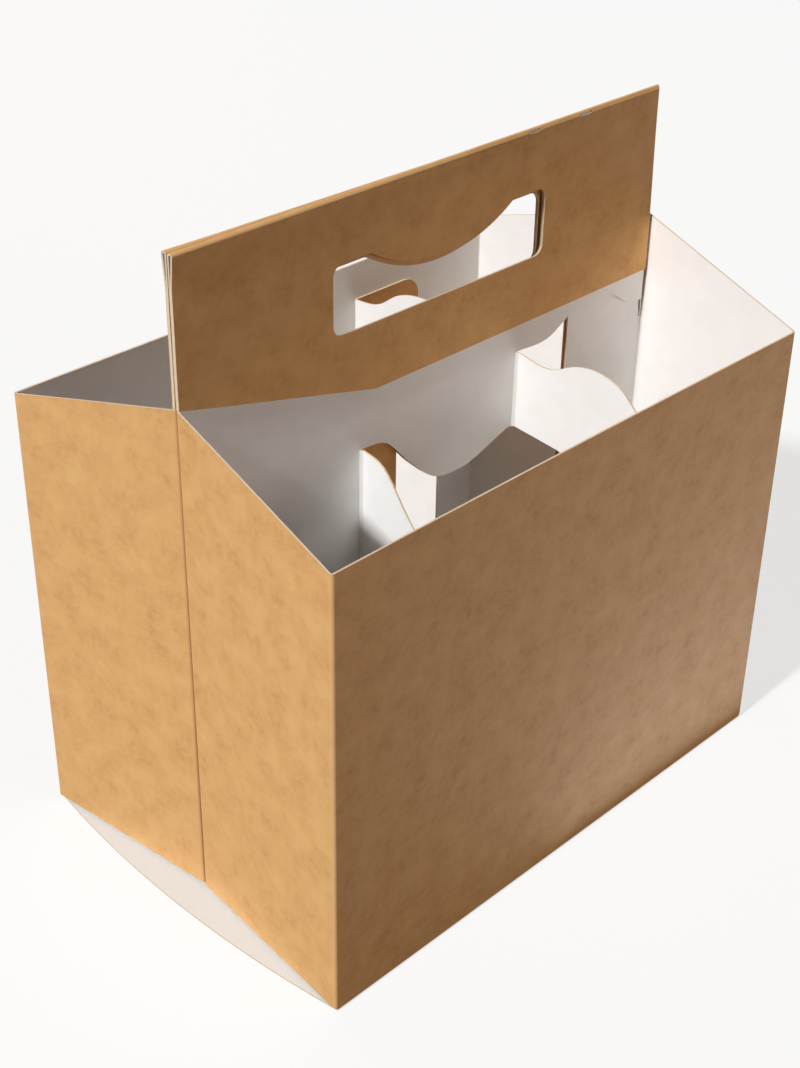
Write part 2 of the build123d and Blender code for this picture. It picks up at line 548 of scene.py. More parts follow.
@dataclass
class BoardMesh:
    """The folded board as one mesh, grown from its middle surface to both faces and the cut rim."""

    layout: Layout
    settling: Settling = Settling()
    probe: float = 0.02
    join_within: float = 0.02
    rear_blank: float = 2000.0
    middles: list[np.ndarray] = field(default_factory=list)
    normals: list[np.ndarray] = field(default_factory=list)
    corners: list[np.ndarray] = field(default_factory=list)
    blanks: list[np.ndarray] = field(default_factory=list)
    creases: list[np.ndarray] = field(default_factory=list)
    count: int = 0

    def lay(self, panel: Panel, half: Half) -> None:
        """Fold one panel into place and keep its triangles.

        Args:
            panel: The panel, drawn for the front half.
            half: The half that it belongs to.
        """
        def folded(right: float, above: float) -> np.ndarray:
            """Middle points after folding and settling, with every flat point moved by a small step."""
            return self.settling.moved(panel.fold(across + right, up + above), self.layout, half)

        flat, corners = panel.triangles(self.layout.grid, self.layout.fold_steps)
        across, up = flat.T
        mirror = (1, half.value, 1)
        along = folded(self.probe, 0.0) - folded(-self.probe, 0.0)
        rise = folded(0.0, self.probe) - folded(0.0, -self.probe)
        normal = np.cross(along, rise) * panel.kraft_sign
        normal /= np.linalg.norm(normal, axis=1)[:, None]
        sides = flat[corners]
        turn = np.cross(sides[:, 1] - sides[:, 0], sides[:, 2] - sides[:, 0])
        backwards = (turn < 0) == (panel.kraft_sign * half.value > 0)
        corners[backwards] = corners[backwards][:, ::-1]
        self.middles.append(folded(0.0, 0.0) * mirror)
        self.normals.append(normal * mirror)
        self.corners.append(corners + self.count)
        offset = (0.0, self.rear_blank * (half is Half.REAR))
        self.blanks.append(panel.blank(across, up)[corners] + offset)
        self.creases.append(panel.worn(across, up)[corners])
        self.count += len(flat)

    def joined(self) -> np.ndarray:
        """Number of the first point at the same place, for every point of every panel."""
        middles = np.concatenate(self.middles)
        tree = KDTree(len(middles))
        for index, middle in enumerate(middles):
            tree.insert(middle, index)
        tree.balance()
        near = [tree.find_range(middle, self.join_within) for middle in middles]
        return np.array([min(found[1] for found in group) for group in near])

    def grow(self, name: str) -> bpy.types.Object:
        """Thicken the middle surface and make the object.

        Args:
            name: The piece's name.

        Returns:
            The piece, with a material index on every face but no materials yet.
        """
        same = self.joined()[np.concatenate(self.corners)]
        whole = np.all([same[:, start] != same[:, end] for start, end in TRIANGLE_SIDES], axis=0)
        same = same[whole]
        blank = np.concatenate(self.blanks)[whole]
        crease = np.concatenate(self.creases)[whole]
        used, numbers = np.unique(same, return_inverse=True)
        numbers = numbers.reshape(same.shape)
        middle = np.concatenate(self.middles)[used]
        normal = np.concatenate(self.normals)[used]
        kraft = middle + normal * self.layout.half_board
        white = middle - normal * self.layout.half_board
        rim, rim_blank = free_edges(numbers, blank)
        start, end = rim.T
        # The white face's points come after the kraft face's, in the same order.
        count = len(used)
        quads = np.stack([end, start, start + count, end + count], 1)
        faces = numbers.tolist() + (numbers[:, ::-1] + count).tolist() + quads.tolist()
        mesh = bpy.data.meshes.new(name)
        mesh.from_pydata((np.concatenate([kraft, white]) * MM).tolist(), [], faces)
        sides = np.repeat([side.value for side in BoardSide], [len(numbers), len(numbers), len(quads)])
        mesh.polygons.foreach_set("material_index", sides.tolist())
        mapped = np.concatenate([
            blank.reshape(-1, 2),
            blank[:, ::-1].reshape(-1, 2),
            rim_blank[:, [1, 0, 0, 1]].reshape(-1, 2),
        ])
        layer = mesh.uv_layers.new(name=BLANK_MAP)
        layer.uv.foreach_set("vector", (mapped * MM).astype(np.float32).ravel())
        corner_values = {
            WEAR_LAYER: [crease.ravel(), crease[:, ::-1].ravel(), np.zeros(quads.size)],
            DEPTH_LAYER: [np.zeros(numbers.size), np.ones(numbers.size), np.tile([0, 0, 1, 1], len(quads))],
        }
        for layer_name, values in corner_values.items():
            attribute = mesh.attributes.new(layer_name, "FLOAT", "CORNER")
            attribute.data.foreach_set("value", np.concatenate(values).astype(np.float32))
        mesh.shade_smooth()
        flat_rim = np.cross(kraft[start] - kraft[end], white[start] - kraft[start])
        flat_rim /= np.linalg.norm(flat_rim, axis=1)[:, None]
        shading = np.concatenate([
            normal[numbers].reshape(-1, 3),
            -normal[numbers[:, ::-1]].reshape(-1, 3),
            np.repeat(flat_rim, 4, 0),
        ])
        mesh.normals_split_custom_set(shading.tolist())
        piece = bpy.data.objects.new(name, mesh)
        bpy.context.scene.collection.objects.link(piece)
        LOG.info("%s: %d faces, %d of them cut edge", name, len(faces), len(quads))
        return piece


@dataclass
class MedialPly:
    """The upright middle ply with the hand hole, folded over at the top into the handle's outer flap."""

    layout: Layout
    handle_slit: float = 4.0
    loop_hollow: float = 0.9
    loop_drop: float = 9.5
    flap_low_edge: float = 146.5
    flap_slope_length: float = 71.0
    hole_left: float = 54.5
    hole_width: float = 87.0
    hole_drop: float = 19.2
    hole_height: float = 21.6
    hole_corner: float = 3.5
    scallop_drop: float = 9.2
    scallop_width: float = 58.4
    scallop_blend: float = 3.0
    nick_length: float = 6.0
    nick_width: float = 1.0
    nick_places: tuple[float, ...] = (135.0, 158.0)
    opening_low: float = 52.0
    tongue_width: float = 15.6
    tongue_low: float = 90.0
    # The fold over the handle gapes only near its left end. Along the rest it is pressed to a narrow slope.
    loop_open: float = 2.0
    loop_fade: float = 9.0
    pressed_hollow: float = -0.3
    pressed_drop: float = 1.2
    # The front turn is a little more than square, so its radius is a little less. The foot turns wide.
    front_turn: float = 0.88
    foot_turn: float = 4.0
    # The hand holes of the inner layers reach a little lower, so they hide behind the front flap's.
    front_ply_growth: float = 0.7
    rear_ply_growth: float = 0.4
    rear_flap_growth: float = 0.9
    # The ply's right end stands a little nearer to the end panel, most of all below the flap.
    end_creep_low: float = 2.4
    end_creep_high: float = 0.9
    creep_start: float = 143.0

    @property
    def length(self) -> float:
        """Length of the ply, from the left crease to its free right end."""
        return self.layout.right_crease - self.layout.left_crease - self.handle_slit

    def path(self, hollow: float, drop: float) -> FoldPath:
        """The section across the handle, from the floor over the crest to the flap's lower edge.

        Args:
            hollow: Width of the gap inside the fold over the top, less than 0 where the board is pressed.
            drop: Height over which the flap comes in to its own line.

        Returns:
            The section's path.
        """
        layout = self.layout
        crest = layout.handle_height - layout.half_board
        front = layout.ply_line - hollow - layout.board
        flap = layout.ply_line - layout.board
        foot = layout.handle_height - drop
        round_crest = (layout.ply_line - front) / 2
        return FoldPath(
            [(layout.ply_line, 0.0), (layout.ply_line, crest), (front, crest), (flap, foot),
             (flap, self.flap_low_edge)],
            [round_crest, round_crest * self.front_turn, round_crest * self.foot_turn],
        )

    @property
    def gaping(self) -> FoldPath:
        """The section at the left end, where the crest gapes."""
        return self.path(self.loop_hollow, self.loop_drop)

    @property
    def pressed(self) -> FoldPath:
        """The section along the rest, where the crest is pressed."""
        return self.path(self.pressed_hollow, self.pressed_drop)

    def hand_hole(self, growth: float) -> Outline:
        """The grip opening's outline in one layer.

        Args:
            growth: How far the hole reaches below its true place.

        Returns:
            Distances from the left crease, and heights.
        """
        top = self.layout.handle_height - self.hole_drop
        low = top - self.hole_height - growth
        left, right = self.hole_left, self.hole_left + self.hole_width
        middle, half = (left + right) / 2, self.scallop_width / 2
        radius = (half ** 2 + self.scallop_drop ** 2) / (2 * self.scallop_drop)
        widest = math.asin(half / radius)
        centre = top - self.scallop_drop + radius
        arc = [(middle + radius * math.sin(angle), centre - radius * math.cos(angle))
               for angle in np.linspace(widest, -widest, ARC_POINTS)]
        corners = [(left, low), (right, low), (right, top), *arc, (left, top)]
        arc_radii = [self.scallop_blend, *[0.0] * (len(arc) - 2), self.scallop_blend]
        return rounded(corners, [self.hole_corner] * 3 + arc_radii + [self.hole_corner])

    def nick(self, place: float, crest: float) -> Outline:
        """A short lens-shaped cut along the crest."""
        long, wide = self.nick_length / 2, self.nick_width / 2
        angles = np.linspace(0, math.tau, NICK_POINTS, endpoint=False)
        return [(place + long * math.cos(angle), crest + wide * math.sin(angle)) for angle in angles]

    def panel(self, straps: "list[DividerStrap]", strip: "WallStrip", half: Half) -> Panel:
        """Lay out the ply and its handle flap.

        Args:
            straps: The two straps that are cut from this ply.
            strip: The strip that the ply's left edge folds into.
            half: The half of the blank, of which the rear has a tongue beside the first hinge.

        Returns:
            The panel.
        """
        layout = self.layout
        path, pressed = self.gaping, self.pressed
        low_fold = tuple(self.eased(pressed, path, place) for place in pressed.folds[2])
        first, second = straps
        low, right, end = layout.base_clearance, self.length, path.length
        ends = strip.path(0.0)
        edge_start = layout.hinge_stub - ends.folds[0][0]
        outline = [(edge_start, low), (right, low), (right, self.opening_low)]
        if half is Half.REAR:
            tongue = first.hinge + self.tongue_width
            outline += [(first.fold_start, self.opening_low), (first.fold_start, self.tongue_low)]
            outline += [(tongue, self.tongue_low), (tongue, first.height_at(self.tongue_width))]
            outline += [point for point in first.top_edge() if point[0] > tongue]
        else:
            outline += [(first.fold_start, self.opening_low), *first.top_edge()]
        outline += [(second.fold_start, first.end_height)]
        outline += [point for point in second.top_edge() if point[0] < right]
        outline += [(right, second.height_at(right - second.hinge)), (right, end)]
        outline += [(self.flap_slope_length, end), (0.0, end - (layout.crease_height - self.flap_low_edge))]
        outline += [(0.0, layout.crease_height), (edge_start, layout.crease_height)]
        outline += [(edge_start, strip.rim(ends, ends.folds[0][0]))]
        growths = {
            Half.FRONT: (self.front_ply_growth, 0.0),
            Half.REAR: (self.rear_ply_growth, self.rear_flap_growth),
        }
        ply_growth, flap_growth = growths[half]
        turned = [(across, end - (up - self.flap_low_edge)) for across, up in self.hand_hole(flap_growth)]
        crest = path.folds[1][0] + self.nick_width / 2
        nicks = [self.nick(place, crest) for place in self.nick_places]
        return Panel(
            outline, self.fold, lambda across, up: np.stack([across, up], 1), kraft_sign=-1.0,
            holes=[self.hand_hole(ply_growth), turned, *nicks], folds_up=[*path.folds[:2], low_fold],
        )

    def eased(self, source: FoldPath, target: FoldPath, along: np.ndarray | float) -> np.ndarray | float:
        """Turn distances along one section into those of another, which is as long below the crest."""
        start = self.gaping.folds[0][0]
        return start + (along - start) * (target.length - start) / (source.length - start)

    def fold(self, across: np.ndarray, up: np.ndarray) -> np.ndarray:
        """Find middle points of the ply and flap.

        Args:
            across: Distances from the left crease.
            up: Distances up the ply, over the crest and down the flap.

        Returns:
            One point for each pair of distances.
        """
        gaping, pressed = self.gaping, self.pressed
        share = smooth_step((across - self.loop_open) / self.loop_fade)[:, None]
        gone = np.where(up > gaping.folds[0][0], self.eased(gaping, pressed, up), up)
        section = gaping.at(up) * (1.0 - share) + pressed.at(gone) * share
        flap_height = self.layout.handle_height - self.flap_low_edge
        climb = smooth_step((section[:, 1] - self.flap_low_edge) / flap_height)
        creep = self.end_creep_low + (self.end_creep_high - self.end_creep_low) * climb
        creep = creep * smooth_step((across - self.creep_start) / (self.length - self.creep_start))
        return np.column_stack([self.layout.left_crease + across + creep, section])


@dataclass
class DividerStrap:
    """A divider cut from the ply and swung out to the wall, with its glue tab."""

    layout: Layout
    hinge: float
    top: float
    shares: tuple[Point, ...]
    tab: float
    low: float
    notch: float = 0.0
    notch_top: float = 0.0
    tongue_low: float = 0.0
    tab_corner: float = 7.0
    leg_corner: float = 10.0
    score_reach: float = 1.1

    def path(self) -> FoldPath:
        """The strap seen from above, from the ply over its double-scored hinge to the end of the tab."""
        layout = self.layout
        start = layout.left_crease + self.hinge
        end = start - self.lean
        first_score = (start - self.score_reach, layout.ply_line)
        share = self.score_reach / self.reach
        second_score = (start - self.lean * share, layout.ply_line - self.run * share)
        return FoldPath(
            [(start - layout.hinge_stub, layout.ply_line), first_score, second_score,
             (end, layout.tab_line), (end + self.tab, layout.tab_line)],
            [layout.bend] * 3,
        )

    @property
    def run(self) -> float:
        """How far the strap reaches from the ply towards the wall."""
        return self.layout.ply_line - self.layout.tab_line

    @property
    def lean(self) -> float:
        """How far it leans to the left on the way, parallel to the left end."""
        return self.layout.left_push * self.run / (self.layout.ply_line - self.layout.wall_line)

    @property
    def reach(self) -> float:
        """Length of the strap between its folds."""
        return math.hypot(self.run, self.lean)

    @property
    def fold_start(self) -> float:
        """Where the hinge fold starts on the ply, from the left crease."""
        return self.hinge - self.layout.hinge_stub + self.path().folds[0][0]

    @property
    def end_height(self) -> float:
        """Height of the top edge at the wall."""
        return self.top * self.shares[-1][1]

    def height_at(self, along: float) -> float:
        """Height of the top edge at a distance from the hinge."""
        points = [(share * self.reach, up * self.top) for share, up in self.shares]
        return float(smooth_edge(points, np.array([along]))[0])

    def top_edge(self) -> Outline:
        """The top edge in the flat blank, from the hinge fold to the tab fold."""
        places = np.linspace(0.0, self.reach, EDGE_POINTS)[1:]
        edge = [(self.hinge + float(place), self.height_at(float(place))) for place in places]
        return [(self.fold_start, self.top), *edge]

    def panel(self, half: Half) -> Panel:
        """Lay out the strap and its tab.

        Args:
            half: The half of the blank, of which the rear keeps a tongue beside the first hinge.

        Returns:
            The panel.
        """
        path = self.path()
        shift = self.layout.hinge_stub - self.hinge
        start, end = path.folds[0][0], path.length
        top = [(across + shift, up) for across, up in self.top_edge()]
        tab_fold, fold_end = path.folds[-1]
        low_left = [(start, self.low)]
        radii = [0.0]
        if self.notch:
            notch = self.layout.hinge_stub + self.notch
            low_left = [(start, self.notch_top), (notch, self.notch_top), (notch, self.low)]
            radii = [0.0, self.tab_corner, self.leg_corner]
        far = [(end, self.low), (end, self.end_height)]
        radii += [self.tab_corner] * 2
        back = [(fold_end, self.end_height)] + [point for point in top[::-1] if point[0] < tab_fold]
        if half is Half.REAR and self.tongue_low:
            back.append((start, self.tongue_low))
        radii += [0.0] * len(back)
        return Panel(
            rounded(low_left + far + back, radii), path.upright,
            lambda across, up: np.stack([across - shift, up], 1), kraft_sign=-1.0, folds_across=path.folds,
        )


@dataclass
class WallStrip:
    """The left half end, the wall, the right half end and the anchor flap that folds back from it."""

    layout: Layout
    anchor_reach: float = 39.5
    rear_anchor_lap: float = -0.3
    anchor_fold_top: float = 129.0
    anchor_top: float = 150.0
    anchor_slope_length: float = 3.5
    # The flaps' free ends spring apart a little, which leaves a dark slit between them.
    anchor_spring: float = 0.35
    spring_reach: float = 14.0

    def path(self, reach: float) -> FoldPath:
        """The strip seen from above, from a stub of the ply round to the anchor flap's end."""
        layout = self.layout
        corner = layout.half_length - layout.half_board
        turns = [
            (layout.left_crease + layout.hinge_stub, layout.ply_line),
            (layout.left_crease, layout.ply_line),
            (-corner, layout.wall_line),
            (corner, layout.wall_line),
            (layout.right_crease, layout.anchor_line),
        ]
        if reach:
            turns.append((layout.right_crease - reach, layout.anchor_line))
        return FoldPath(turns, [layout.bend] * (len(turns) - 2))

    def rim(self, path: FoldPath, along: float) -> float:
        """Height of the sloping rim at a distance along the strip."""
        layout = self.layout
        depth = -float(path.at(np.array([along]))[0, 1])
        share = np.clip(depth / (layout.half_depth - layout.board), 0.0, 1.0)
        return layout.crease_height - float(share) * (layout.crease_height - layout.wall_height)

    def panels(self, half: Half) -> list[Panel]:
        """Lay out the strip, and the anchor flap on its right fold.

        Args:
            half: The half of the blank, of which the rear has the shorter flap.

        Returns:
            The strip's panel and the flap's panel.
        """
        layout = self.layout
        reach = self.anchor_reach + self.rear_anchor_lap * (half is Half.REAR)
        whole, strip = self.path(reach), self.path(0.0)
        start, turn = whole.folds[0][0], whole.folds[-1][0]
        low = layout.base_clearance
        clear = layout.half_length - layout.bend - layout.half_board
        middle = self.wall_middle(strip)
        outline = [(start, low), (middle - clear, low), (middle + clear, low), (turn, low)]
        outline += [(turn, self.anchor_fold_top), (strip.length, self.anchor_fold_top)]
        bends = divided(strip.folds, layout.fold_steps)
        rim = [(place, self.rim(strip, place)) for place in [strip.length, *bends[::-1]]]
        panel = Panel(outline + rim, strip.upright, self.on_blank, kraft_sign=1.0, folds_across=strip.folds)
        end = whole.length
        fold_end = whole.folds[-1][1] + layout.board
        flap = [(turn, low), (end, low), (end, self.anchor_top)]
        flap += [(fold_end + self.anchor_slope_length, self.anchor_top), (fold_end, self.anchor_fold_top)]
        flap += [(turn, self.anchor_fold_top)]
        anchor = Panel(
            flap, lambda across, up: self.sprung(whole, across, up), self.on_blank, kraft_sign=1.0,
            folds_across=whole.folds[-1:],
        )
        return [panel, anchor]

    def on_blank(self, across: np.ndarray, up: np.ndarray) -> np.ndarray:
        """Places on the flat blank, on which the strip runs to the left of the ply."""
        return np.stack([self.layout.hinge_stub - across, up], 1)

    def sprung(self, path: FoldPath, across: np.ndarray, up: np.ndarray) -> np.ndarray:
        """Middle points of the anchor flap, whose free end springs out."""
        points = path.upright(across, up)
        free = smooth_step((across - path.length + self.spring_reach) / self.spring_reach)
        points[:, 1] -= self.anchor_spring * free
        return points

    def wall_middle(self, path: FoldPath) -> float:
        """Distance along the strip at which the wall crosses X = 0."""
        start = path.folds[1][1]
        return start - float(path.at(np.array([start]))[0, 0])


@dataclass
class BottomPanel:
    """The bottom, folded up into both walls, with free curved ends and a shallow centre crease."""

    layout: Layout
    bulge: float = 3.95
    crease_width: float = 1.6
    crease_depth: float = 0.1

    def path(self) -> FoldPath:
        """The section across the bottom, from the front wall to the rear wall."""
        layout = self.layout
        wall, floor, top = layout.wall_line, layout.half_board, layout.base_clearance
        return FoldPath([(wall, top), (wall, floor), (-wall, floor), (-wall, top)], [layout.bend] * 2)

    def panel(self, wall_middle: float) -> Panel:
        """Lay out the bottom.

        Args:
            wall_middle: Where X = 0 of the front wall lies across the blank.

        Returns:
            The panel.
        """
        layout = self.layout
        path = self.path()
        clear = layout.half_length - layout.bend - layout.half_board
        middle = path.length / 2
        corner = layout.half_depth - layout.bend - layout.board
        rise = layout.half_length + self.bulge - clear
        radius = (corner ** 2 + rise ** 2) / (2 * rise)
        angles = np.linspace(-math.asin(corner / radius), math.asin(corner / radius), ARC_POINTS)
        far = clear + rise - radius
        end = [(far + radius * math.cos(angle), middle + radius * math.sin(angle)) for angle in angles]
        other = [(-x, up) for x, up in end[::-1]]
        outline = [(-clear, 0.0), (clear, 0.0), *end, (clear, path.length), (-clear, path.length), *other]
        half = self.crease_width / 2
        return Panel(
            outline, lambda across, up: self.fold(path, across, up),
            lambda across, up: np.stack([wall_middle - across, layout.base_clearance - up], 1),
            kraft_sign=-1.0, folds_up=[*path.folds, (middle - half, middle + half)],
        )

    def fold(self, path: FoldPath, across: np.ndarray, up: np.ndarray) -> np.ndarray:
        """Middle points of the bottom."""
        section = path.at(up)
        dip = np.clip(1.0 - np.abs(up - path.length / 2) / (self.crease_width / 2), 0.0, 1.0)
        return np.stack([across, section[:, 0], section[:, 1] + self.crease_depth * dip], 1)


@dataclass(frozen=True)
class Mottle:
    """An uneven pattern on the flat blank, with its size in millimetres."""

    size: float
    detail: float = 2.0
    roughness: float = 0.5
    distortion: float = 0.0

    def feeds(self, place: bpy.types.NodeSocket) -> dict[str, object]:
        """Inputs of the noise that draws it."""
        return {"Vector": place, "Scale": 1 / self.size, "Detail": self.detail,
                "Roughness": self.roughness, "Distortion": self.distortion}


@dataclass(frozen=True)
class Spread:
    """How much of a colour a pattern brings: none below its low value, the most above its high one."""

    low: float
    high: float
    most: float = 1.0

    def feeds(self, pattern: bpy.types.Node) -> dict[str, object]:
        """Inputs of the range that works it out."""
        return {"Value": pattern.outputs[0], "From Min": self.low, "From Max": self.high,
                "To Max": self.most}


def new_finish(name: str) -> tuple[bpy.types.Material, bpy.types.NodeSocket]:
    """Start a finish.

    Args:
        name: The material's name.

    Returns:
        The material, and the output that gives places on the flat blank in millimetres.
    """
    made = bpy.data.materials.new(name)
    made.use_nodes = True
    tree = made.node_tree
    blank = add_node(tree, "ShaderNodeUVMap", {"uv_map": BLANK_MAP}, {})
    flat = add_node(tree, "ShaderNodeVectorMath", {"operation": "SCALE"}, {
        0: blank.outputs[0], "Scale": 1 / MM})
    return made, flat.outputs[0]


def layered(tree: bpy.types.NodeTree, base: str,
            layers: list[tuple[bpy.types.NodeSocket, str]]) -> bpy.types.NodeSocket:
    """Lay colours over a base colour.

    Args:
        tree: The finish's tree.
        base: The base colour in sRGB hex.
        layers: The share and the colour of each layer, from the lowest up.

    Returns:
        The output that gives the colour on top.
    """
    colour: object = linear(base)
    for share, layer in layers:
        mixed = add_node(tree, "ShaderNodeMix", {"data_type": "RGBA"}, {
            MIX_SHARE: share, MIX_UNDER: colour, MIX_OVER: linear(layer)})
        colour = mixed.outputs[MIX_RESULT]
    return colour


@dataclass(frozen=True)
class KraftLiner:
    """Unbleached kraft liner, machine made and lightly calendered.

    It gives a warm tan with cloudy formation, darker in fine clouds and paler in coarse ones, with short
    pale fibres and with folds rubbed paler.
    """

    name: str = "kraft_liner_unbleached"
    tan: str = "#DCA76C"
    dark: str = "#CA9557"
    pale: str = "#E7B678"
    rubbed: str = "#E5B983"
    fine_cloud: Mottle = Mottle(2.6, detail=3.0, roughness=0.6)
    dark_spread: Spread = Spread(0.35, 0.75)
    coarse_cloud: Mottle = Mottle(9.0, detail=3.0)
    coarse_spread: Spread = Spread(0.3, 0.7, most=0.8)
    # Real fibres are a few hundredths of a millimetre wide. They are drawn as coarse as they need to show.
    fibre_width: float = 0.45
    fibre_length: float = 3.2
    fibre_noise: Mottle = Mottle(1.0, detail=3.0, roughness=0.65, distortion=0.6)
    fibre_spread: Spread = Spread(0.48, 0.8, most=0.6)
    relief: float = 0.012
    relief_strength: float = 0.6
    ior: float = 1.47
    roughness: float = 0.85
    # Open fibres scatter most of the mirrored light, so less of it is left than on a closed surface.
    sheen: float = 0.4

    def material(self) -> bpy.types.Material:
        """Make the material."""
        made, flat = new_finish(self.name)
        tree = made.node_tree
        fine = add_node(tree, "ShaderNodeTexNoise", {}, self.fine_cloud.feeds(flat))
        coarse = add_node(tree, "ShaderNodeTexNoise", {}, self.coarse_cloud.feeds(flat))
        laid = add_node(tree, "ShaderNodeMapping", {}, {
            "Vector": flat, "Scale": (1 / self.fibre_length, 1 / self.fibre_width, 1.0)})
        fibres = add_node(tree, "ShaderNodeTexNoise", {}, self.fibre_noise.feeds(laid.outputs[0]))
        layers = []
        for pattern, spread, colour in (
            (fine, self.dark_spread, self.dark),
            (fibres, self.fibre_spread, self.pale),
            (coarse, self.coarse_spread, self.pale),
        ):
            share = add_node(tree, "ShaderNodeMapRange", {}, spread.feeds(pattern))
            layers.append((share.outputs[0], colour))
        wear = add_node(tree, "ShaderNodeAttribute", {"attribute_name": WEAR_LAYER}, {})
        rub = add_node(tree, "ShaderNodeMath", {"operation": "MULTIPLY"}, {
            0: wear.outputs["Fac"], 1: fine.outputs[0]})
        layers.append((rub.outputs[0], self.rubbed))
        bump = add_node(tree, "ShaderNodeBump", {}, {
            "Height": fibres.outputs[0], "Distance": self.relief * MM, "Strength": self.relief_strength})
        feed(tree, tree.nodes["Principled BSDF"], {
            "Base Color": layered(tree, self.tan, layers), "Normal": bump.outputs[0],
            "Specular IOR Level": self.sheen, "Roughness": self.roughness, "IOR": self.ior})
        return made


@dataclass(frozen=True)
class WhiteBack:
    """Clay-coated white back, blade coated and calendered.

    It gives a clean, faintly warm white with a soft sheen, barely uneven and greyed where it is folded. On
    the bottom it carries painted shade, a greyer white, as that strip shows in the photograph.
    """

    name: str = "white_back_clay_coated"
    white: str = "#F5F3F0"
    uneven: str = "#F1EEEA"
    cracked: str = "#DFDAD2"
    # Painted shade: a greyer white that darkens the bottom's face.
    bottom_painted_shade: str = "#DDE0E1"
    # Heights up to which the bottom's painted shade is full, and at which it has gone.
    painted_shade_below: float = 1.2
    painted_shade_to: float = 2.4
    cloud: Mottle = Mottle(9.0, detail=4.0, roughness=0.6)
    uneven_spread: Spread = Spread(0.4, 0.7, most=0.8)
    # The coating's own grain is finer. It is drawn as coarse as it needs to show.
    grain: Mottle = Mottle(0.7)
    relief: float = 0.012
    relief_strength: float = 0.5
    ior: float = 1.5
    roughness: float = 0.5
    roughness_change: float = 0.06

    def material(self) -> bpy.types.Material:
        """Make the material."""
        made, flat = new_finish(self.name)
        tree = made.node_tree
        clouds = add_node(tree, "ShaderNodeTexNoise", {}, self.cloud.feeds(flat))
        grain = add_node(tree, "ShaderNodeTexNoise", {}, self.grain.feeds(flat))
        share = add_node(tree, "ShaderNodeMapRange", {}, self.uneven_spread.feeds(clouds))
        wear = add_node(tree, "ShaderNodeAttribute", {"attribute_name": WEAR_LAYER}, {})
        crack = add_node(tree, "ShaderNodeMath", {"operation": "MULTIPLY"}, {
            0: wear.outputs["Fac"], 1: clouds.outputs[0]})
        place = add_node(tree, "ShaderNodeTexCoord", {}, {})
        height = add_node(tree, "ShaderNodeSeparateXYZ", {}, {0: place.outputs["Object"]})
        # Painted shade: the bottom's white is mixed towards a greyer white, fading out just above it.
        low = add_node(tree, "ShaderNodeMapRange", {}, {
            "Value": height.outputs["Z"], "From Min": self.painted_shade_below * MM, "From Max": self.painted_shade_to * MM,
            "To Min": 1.0, "To Max": 0.0})
        colour = layered(tree, self.white, [
            (share.outputs[0], self.uneven),
            (crack.outputs[0], self.cracked),
            (low.outputs[0], self.bottom_painted_shade),
        ])
        rough = add_node(tree, "ShaderNodeMapRange", {}, {
            "Value": grain.outputs[0], "To Min": self.roughness - self.roughness_change,
            "To Max": self.roughness + self.roughness_change})
        bump = add_node(tree, "ShaderNodeBump", {}, {
            "Height": grain.outputs[0], "Distance": self.relief * MM, "Strength": self.relief_strength})
        feed(tree, tree.nodes["Principled BSDF"], {
            "Base Color": colour, "Roughness": rough.outputs[0], "Normal": bump.outputs[0],
            "IOR": self.ior})
        return made


@dataclass(frozen=True)
class CutEdge:
    """The board's core where the die cut it.

    It gives a thin dry line, tan at the kraft face and cream towards the coated back, with loose fibres.
    """

    name: str = "board_core_die_cut"
    tan: str = "#DBB98D"
    cream: str = "#EBDDC8"
    dark: str = "#CBAA7C"
    fibre: Mottle = Mottle(1.1, detail=4.0, roughness=0.7)
    loose_spread: Spread = Spread(0.45, 0.8, most=0.7)
    relief: float = 0.05
    relief_strength: float = 0.8
    ior: float = 1.45
    roughness: float = 0.9

    def material(self) -> bpy.types.Material:
        """Make the material."""
        made, flat = new_finish(self.name)
        tree = made.node_tree
        fibres = add_node(tree, "ShaderNodeTexNoise", {}, self.fibre.feeds(flat))
        depth = add_node(tree, "ShaderNodeAttribute", {"attribute_name": DEPTH_LAYER}, {})
        loose = add_node(tree, "ShaderNodeMapRange", {}, self.loose_spread.feeds(fibres))
        colour = layered(tree, self.tan, [
            (depth.outputs["Fac"], self.cream), (loose.outputs[0], self.dark)])
        bump = add_node(tree, "ShaderNodeBump", {}, {
            "Height": fibres.outputs[0], "Distance": self.relief * MM, "Strength": self.relief_strength})
        feed(tree, tree.nodes["Principled BSDF"], {
            "Base Color": colour, "Normal": bump.outputs[0], "Roughness": self.roughness, "IOR": self.ior})
        return made


